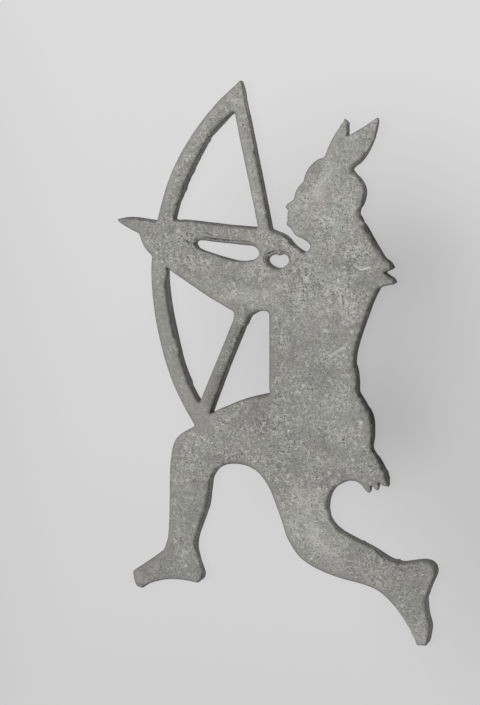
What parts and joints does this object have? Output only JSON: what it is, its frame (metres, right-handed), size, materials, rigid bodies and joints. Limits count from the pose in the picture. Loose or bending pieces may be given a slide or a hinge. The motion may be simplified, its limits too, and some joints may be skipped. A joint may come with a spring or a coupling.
{
  "type": "flat cast archer figure",
  "caption": "Flat silhouette casting of a running archer with feathers in the hair, drawing a bow with its string and arrow; one solid piece that lies on its back.",
  "frame": {"origin": "middle of the bounding box in X and Y, on the plane of the flat back face that the casting lies on", "axes": "+X to the figure's back (the archer looks and shoots towards -X), +Y up the figure, towards the bow's top tip, +Z out of the front face"},
  "size_m": [0.2026, 0.3328, 0.01],
  "materials": {
    "bronze": "matte mottled grey-brown patina, slightly brighter where handled"
  },
  "bodies": {
    "root": {"archer_figure": "bronze"}
  },
  "joints": []
}
